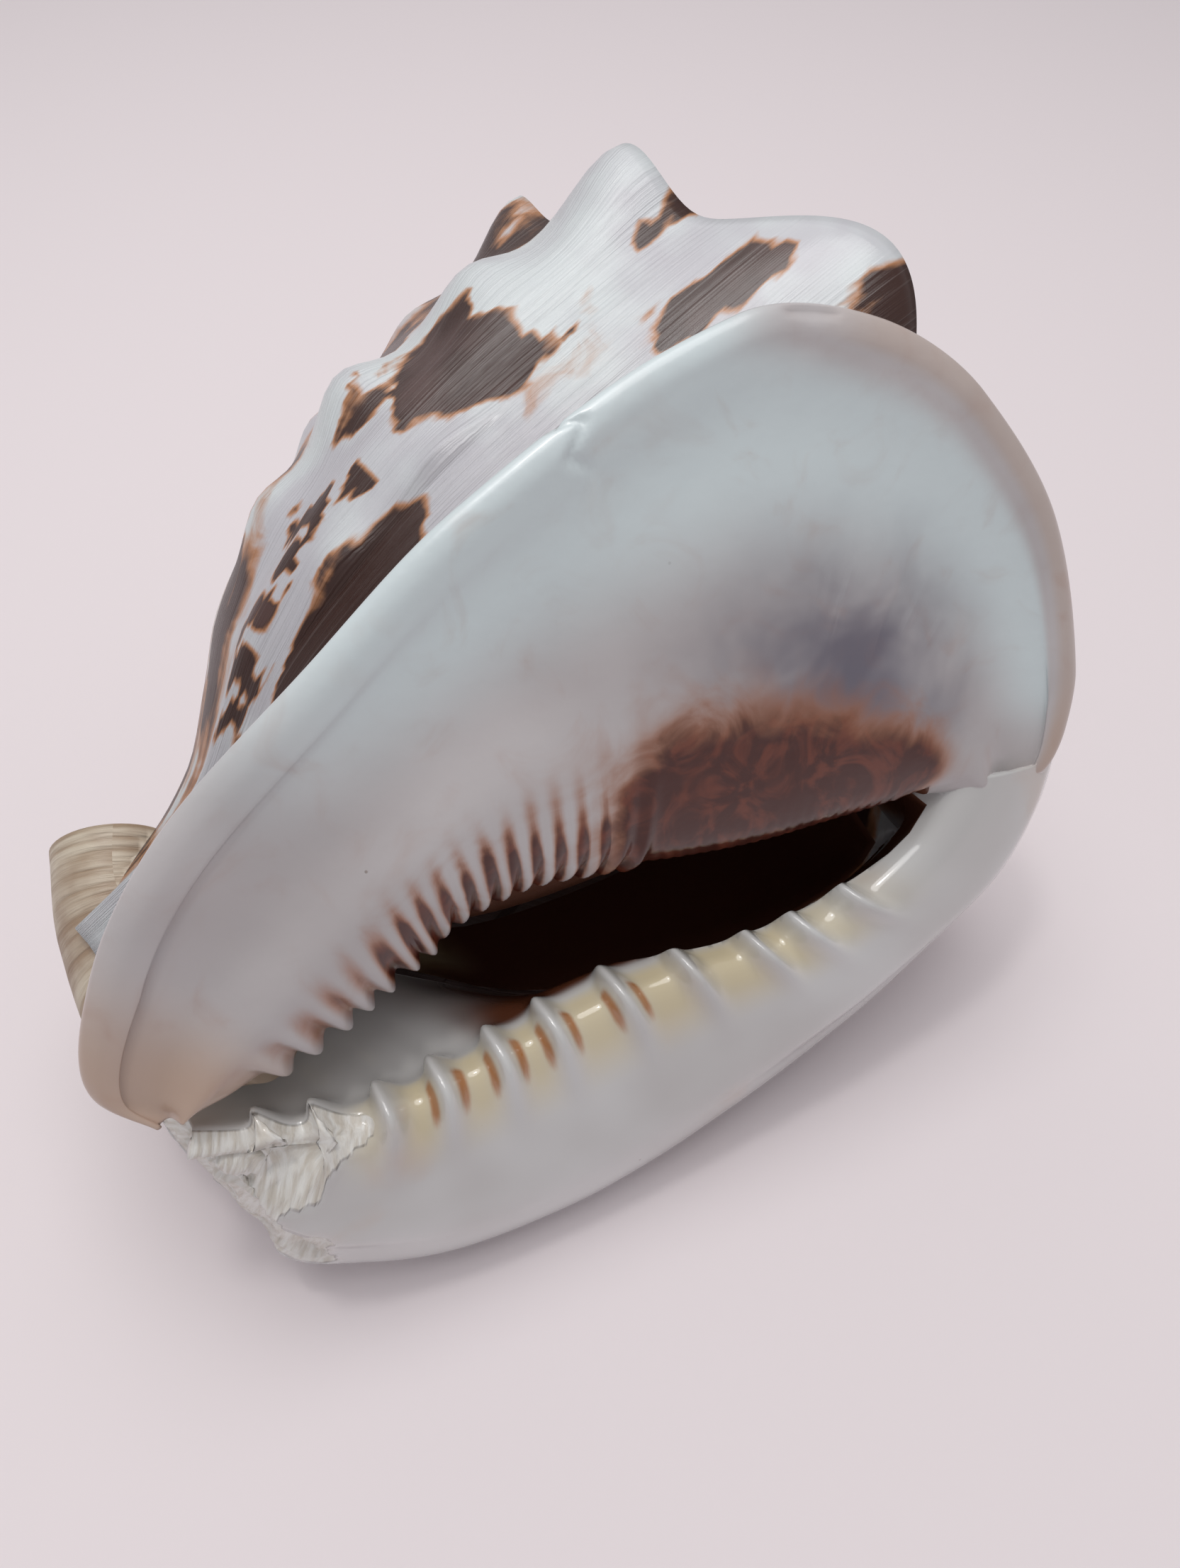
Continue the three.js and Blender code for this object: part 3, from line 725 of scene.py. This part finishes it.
def area_light(name, position, size, watts, tint):
    data = bpy.data.lights.new(name, type="AREA")
    data.shape = "DISK"
    data.size = size
    data.energy = watts
    data.color = tint
    lamp = bpy.data.objects.new(name, data)
    bpy.context.collection.objects.link(lamp)
    lamp.location = position
    lamp.rotation_euler = (Vector(LIT) - Vector(position)).to_track_quat("-Z", "Y").to_euler()


# ---------------------------------------------------------------- materials
def colour(hex_code):
    """Linear colour from an sRGB hex code."""
    values = [int(hex_code[i:i + 2], 16) / 255 for i in (0, 2, 4)]
    return (*(v / 12.92 if v <= 0.04045 else ((v + 0.055) / 1.055) ** 2.4 for v in values), 1)


def fill(tree, node, inputs):
    """Sets a node's inputs, each to a constant or to another node's output."""
    for name, value in inputs.items():
        if isinstance(value, bpy.types.NodeSocket):
            tree.links.new(value, node.inputs[name])
        else:
            node.inputs[name].default_value = value


def add(tree, kind, inputs, output=0, **settings):
    """Adds one node with its settings and links, and gives one of its outputs."""
    node = tree.nodes.new(kind)
    for name, value in settings.items():
        setattr(node, name, value)
    fill(tree, node, inputs)
    return node.outputs[output]


def laid_over(tree, base, over, mask, rise=(0, 1), strength=1):
    """A colour laid over another: none at the first value of a mask, full strength at the second."""
    amount = {"Value": mask, "From Min": rise[0], "From Max": rise[1], "To Max": strength}
    amount = add(tree, "ShaderNodeMapRange", amount, interpolation_type="SMOOTHSTEP")
    return add(tree, "ShaderNodeMix", {0: amount, 6: base, 7: over}, output=2, data_type="RGBA")


def masks(tree, layer):
    """The two masks of a layer."""
    uv = add(tree, "ShaderNodeUVMap", {}, uv_map=layer)
    parts = add(tree, "ShaderNodeSeparateXYZ", {0: uv}).node
    return parts.outputs[0], parts.outputs[1]


def grain(tree, along, across, detail):
    """Streaks over the surface's own millimetres, with so many to the millimetre both ways."""
    uv = add(tree, "ShaderNodeUVMap", {}, uv_map="millimetres")
    uv = add(tree, "ShaderNodeMapping", {"Vector": uv, "Scale": (along, across, 1)})
    return add(tree, "ShaderNodeTexNoise", {"Vector": uv, "Scale": 1, "Detail": detail})


def shell_material(name):
    """An empty material, its tree, its surface shader and the object's own coordinates in millimetres."""
    material = bpy.data.materials.new(name)
    material.use_nodes = True
    tree = material.node_tree
    surface = tree.nodes["Principled BSDF"]
    surface.inputs["IOR"].default_value = 1.6  # aragonite
    place = add(tree, "ShaderNodeTexCoord", {}, output="Object")
    place = add(tree, "ShaderNodeMapping", {"Vector": place, "Scale": (1 / MM, 1 / MM, 1 / MM)})
    return material, tree, surface, place


def worn_white(tree, place, white, grey):
    """The porcelain's own slight clouds, about 45 mm wide, and a few tiny dark specks, about 18 mm apart."""
    clouds = add(tree, "ShaderNodeTexNoise", {"Vector": place, "Scale": 0.022, "Detail": 2})
    base = laid_over(tree, colour(white), colour(grey), clouds, (0.35, 0.65))
    specks = add(tree, "ShaderNodeTexVoronoi", {"Vector": place, "Scale": 0.055}, output="Distance")
    return laid_over(tree, base, colour("6b5848"), specks, (0.022, 0.012), 0.55)


def shield_callus():
    """Porcelain-like callus of the parietal shield, laid down smooth and polished by the animal's mantle.

    It is glossy, painted lighter and bluish in the dish and tan and darker on the rim and front end (painted
    light and shade over its own tints), with a brown blotch and a smoky halo by the mouth.
    """
    material, tree, surface, place = shell_material("shield callus, porcelain-like aragonite")
    stain, halo = masks(tree, "marks")
    tone, dark = masks(tree, "more marks")
    base = worn_white(tree, place, "c4bfc0", "b7b1b2")
    # Painted light and shade: a lighter bluish dish, a tan and darker rim and front end.
    base = laid_over(tree, base, colour("d5e1e4"), tone, (0.05, 0.9), 0.92)
    base = laid_over(tree, base, colour("b9977d"), tone, (-0.05, -0.95), 0.7)
    smoke = {"Vector": place, "Scale": 0.04, "Detail": 3, "Distortion": 0.4}  # puffs of about 25 mm
    smoke = {"Value": add(tree, "ShaderNodeTexNoise", smoke), "From Min": 0.1, "From Max": 0.65}
    smoke = add(tree, "ShaderNodeMapRange", smoke, interpolation_type="SMOOTHSTEP")
    base = laid_over(tree, base, colour("6a6673"), halo, (0.05, 1), smoke)
    swirl = {"Vector": place, "Scale": 0.05, "Detail": 4, "Distortion": 2.2}  # curls of about 20 mm
    swirl = add(tree, "ShaderNodeTexNoise", swirl)
    edge = add(tree, "ShaderNodeMath", {0: swirl, 1: 0.6, 2: stain}, operation="MULTIPLY_ADD")
    base = laid_over(tree, base, colour("a0623a"), edge, (0.3, 0.85), 0.9)
    veins = {"Vector": place, "Scale": 0.07, "Detail": 3, "Distortion": 3}  # veins of about 14 mm
    veins = add(tree, "ShaderNodeTexNoise", veins)
    blotch = laid_over(tree, colour("451a11"), colour("6b3220"), veins, (0.4, 0.7))
    base = laid_over(tree, base, blotch, edge, (0.6, 0.95))
    # Painted shade inside the mouth, with the lining's own brown.
    base = laid_over(tree, base, colour("5b3423"), dark)
    dents = add(tree, "ShaderNodeTexNoise", {"Vector": place, "Scale": 0.12, "Detail": 3})
    dents = add(tree, "ShaderNodeBump", {"Height": dents, "Strength": 1, "Distance": 0.25 * MM})
    gloss = {"Roughness": 0.3, "Coat Weight": 0.35, "Coat Roughness": 0.12}
    fill(tree, surface, {"Base Color": base, "Normal": dents, **gloss})
    return material


def lip_callus():
    """Thick rolled callus of the outer lip, the glossiest part: yellow between its ridges.

    Its front end broke away, which bared the dull, chalky layers inside.
    """
    material, tree, surface, place = shell_material("lip callus, porcelain-like aragonite")
    between, streak = masks(tree, "marks")
    broken, dark = masks(tree, "more marks")
    base = worn_white(tree, place, "d3d4d4", "c6c5c4")
    tan = add(tree, "ShaderNodeTexNoise", {"Vector": place, "Scale": 0.035, "Detail": 3})
    base = laid_over(tree, base, colour("c9a68c"), tan, (0.6, 0.78), 0.3)
    yellow = add(tree, "ShaderNodeMath", {0: between, 1: 0.6}, operation="MULTIPLY")
    yellow = {0: yellow, 6: base, 7: colour("d8c48c")}
    base = add(tree, "ShaderNodeMix", yellow, output=2, data_type="RGBA")
    base = laid_over(tree, base, colour("a8672c"), streak, (0.2, 0.9), 0.85)
    layers = grain(tree, 0.9, 0.12, 4)
    chalk = laid_over(tree, colour("e9e8e4"), colour("cfc8bd"), layers, (0.35, 0.68))
    base = laid_over(tree, base, chalk, broken, (0.15, 0.5))
    # Painted shade inside the mouth, with the lining's own brown.
    base = laid_over(tree, base, colour("5b3423"), dark)
    cracked = {"Value": broken, "From Min": 0.15, "From Max": 0.5}
    cracked = add(tree, "ShaderNodeMapRange", cracked, interpolation_type="SMOOTHSTEP")
    gloss = add(tree, "ShaderNodeMapRange", {"Value": cracked, "To Min": 0.15, "To Max": 0.75})
    steps = add(tree, "ShaderNodeMath", {0: layers, 1: cracked}, operation="MULTIPLY")
    steps = add(tree, "ShaderNodeBump", {"Height": steps, "Strength": 1, "Distance": 0.6 * MM})
    gloss = {"Roughness": gloss, "Coat Weight": 0.5, "Coat Roughness": 0.08}
    fill(tree, surface, {"Base Color": base, "Normal": steps, **gloss})
    return material


def whorl_skin():
    """Outside of the whorls, grown edge by edge: white, with brown clouds edged in orange.

    The growth lines give it a silky sheen, from their relief and from a faint pale colour painted on them as
    sheen. They are drawn about 1 mm apart, coarser than real ones, to show.
    """
    material, tree, surface, place = shell_material("outer whorl, mottled aragonite")
    brown, knob = masks(tree, "marks")
    lump, dark = masks(tree, "more marks")
    lines = grain(tree, 1.1, 0.012, 5)
    mottle = {"Vector": place, "Scale": 0.1, "Detail": 5, "Distortion": 0.8}  # spots of about 10 mm
    mottle = add(tree, "ShaderNodeTexNoise", mottle)
    depth = brown
    for part, weight in ((mottle, 0.55), (knob, -0.4), (lines, -0.1)):
        depth = add(tree, "ShaderNodeMath", {0: part, 1: weight, 2: depth}, operation="MULTIPLY_ADD")
    clouds = add(tree, "ShaderNodeTexNoise", {"Vector": place, "Scale": 0.03, "Detail": 3})
    base = laid_over(tree, colour("d6dcde"), colour("c5c4ca"), clouds, (0.4, 0.62))
    base = laid_over(tree, base, colour("b8763a"), depth, (0.36, 0.62), 0.9)
    base = laid_over(tree, base, colour("381b12"), depth, (0.54, 0.8))
    mauve = add(tree, "ShaderNodeTexNoise", {"Vector": place, "Scale": 0.035, "Detail": 3})
    mauve = {"Value": mauve, "From Min": 0.5, "From Max": 0.66, "To Max": 0.25}
    mauve = add(tree, "ShaderNodeMapRange", mauve, interpolation_type="SMOOTHSTEP")
    base = laid_over(tree, base, colour("7d5f5c"), depth, (0.62, 0.9), mauve)
    # Painted sheen: a faint pale colour along the growth lines.
    base = laid_over(tree, base, colour("d9d2d0"), lines, (0.52, 0.72), 0.08)
    # Inside the mouth the whorl is painted dark: the lining's own brown and painted shade.
    lining = {0: dark, 6: base, 7: colour("6b4232")}
    base = add(tree, "ShaderNodeMix", lining, output=2, data_type="RGBA")
    gloss = add(tree, "ShaderNodeMapRange", {"Value": lump, "To Min": 0.34, "To Max": 0.16})
    silk = add(tree, "ShaderNodeMapRange", {"Value": lump, "To Min": 1, "To Max": 0.1})
    silk = add(tree, "ShaderNodeMath", {0: lines, 1: silk}, operation="MULTIPLY")
    silk = add(tree, "ShaderNodeBump", {"Height": silk, "Strength": 1, "Distance": 0.55 * MM})
    gloss = {"Roughness": gloss, "Coat Weight": 0.12, "Coat Roughness": 0.15}
    fill(tree, surface, {"Base Color": base, "Normal": silk, **gloss})
    return material


def chamber_lining():
    """Smooth glazed lining of the chamber: cream at the front end, darker further in: the lining's own brown
    and painted shade.
    """
    material, tree, surface, place = shell_material("chamber lining, glazed aragonite")
    _, dark = masks(tree, "more marks")
    patches = add(tree, "ShaderNodeTexNoise", {"Vector": place, "Scale": 0.03, "Detail": 2})
    base = laid_over(tree, colour("d8cba9"), colour("b8986e"), patches, (0.4, 0.7))
    # Painted shade: darker further into the chamber, with the lining's own brown.
    base = laid_over(tree, base, colour("6b4232"), dark, (0.1, 0.9))
    fill(tree, surface, {"Base Color": base, "Roughness": 0.32})
    return material


def canal_skin():
    """Dull outside of the siphonal canal, built up in coarse growth rings about 2.4 mm apart."""
    material, tree, surface, place = shell_material("siphonal canal, dull aragonite")
    rings = grain(tree, 0.42, 0.03, 4)
    base = laid_over(tree, colour("a8937c"), colour("cfc3b0"), rings, (0.35, 0.6))
    worn = add(tree, "ShaderNodeTexNoise", {"Vector": place, "Scale": 0.05, "Detail": 3})
    base = laid_over(tree, base, colour("8d6f58"), worn, (0.4, 0.65), 0.6)
    steps = add(tree, "ShaderNodeBump", {"Height": rings, "Strength": 1, "Distance": 1.6 * MM})
    fill(tree, surface, {"Base Color": base, "Normal": steps, "Roughness": 0.5})
    return material


def paper():
    """Plain matt paper of the floor, pressed smooth, with no shine."""
    material = bpy.data.materials.new("matt paper")
    material.use_nodes = True
    surface = material.node_tree.nodes["Principled BSDF"]
    fill(material.node_tree, surface, {"Base Color": colour("efe6e9"), "Roughness": 0.9})
    return material


# ---------------------------------------------------------------- the whole shell
def build_shell():
    outer = whorl_skin()
    shield = shield_callus()
    lip = lip_callus()
    inside = chamber_lining()
    half = MOUTH_ANGLE - 180
    lap = 2  # the young end runs on a little inside the old one
    shell = swept("shell_visible", wedge(half, MOUTH_ANGLE, 181), outer)
    width, thickness, flare = CANAL["width"], CANAL["thickness"], CANAL["flare"]
    added = [
        ("young", wedge(half - 180 - lap, half, 183), outer),
        ("shield", parietal_shield(380, 84), shield),
        ("lip", outer_lip(320, 84), lip),
        ("corner", corner_plug(30, 40), shield),
        ("canal", rounded_tube(CANAL_LINE, width, thickness, flare, 60, 48), canal_skin()),
    ]
    for name, surface, material in added:
        combine(shell, swept(name, surface, material), "UNION")
    for name, surface in (("chamber", chamber(24)), ("bore", canal_bore(40, 24))):
        combine(shell, swept(name, surface, inside), "DIFFERENCE")
    lay_down(shell)
    return shell


def paper_floor():
    bpy.ops.mesh.primitive_plane_add(size=8)
    floor = bpy.context.active_object
    floor.name = "paper_floor"
    floor.data.materials.append(paper())
    return floor


shell = build_shell()
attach(shell, "root")
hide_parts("shell")
paper_floor()

look_from(position=(-0.0647, -0.1936, 0.3069), target=(-0.0072, -0.0636, 0.1198), focal_mm=27.13)
area_light("window", position=(-0.05, 0.55, 0.95), size=0.9, watts=1.1, tint=(1.0, 0.985, 0.965))
area_light("ceiling", position=(0.0, 0.05, 1.3), size=1.0, watts=6.7, tint=(1.0, 0.995, 0.99))
area_light("lamp", position=(-0.15, 0.0, 1.2), size=0.12, watts=1.4, tint=(1.0, 0.98, 0.95))
world = bpy.data.worlds.new("studio")
bpy.context.scene.world = world
world.use_nodes = True
fill(world.node_tree, world.node_tree.nodes["Background"], {"Color": colour("f3f1f3"), "Strength": 0.43})
bpy.context.scene.view_settings.view_transform = "Standard"  # shows the materials' own colours
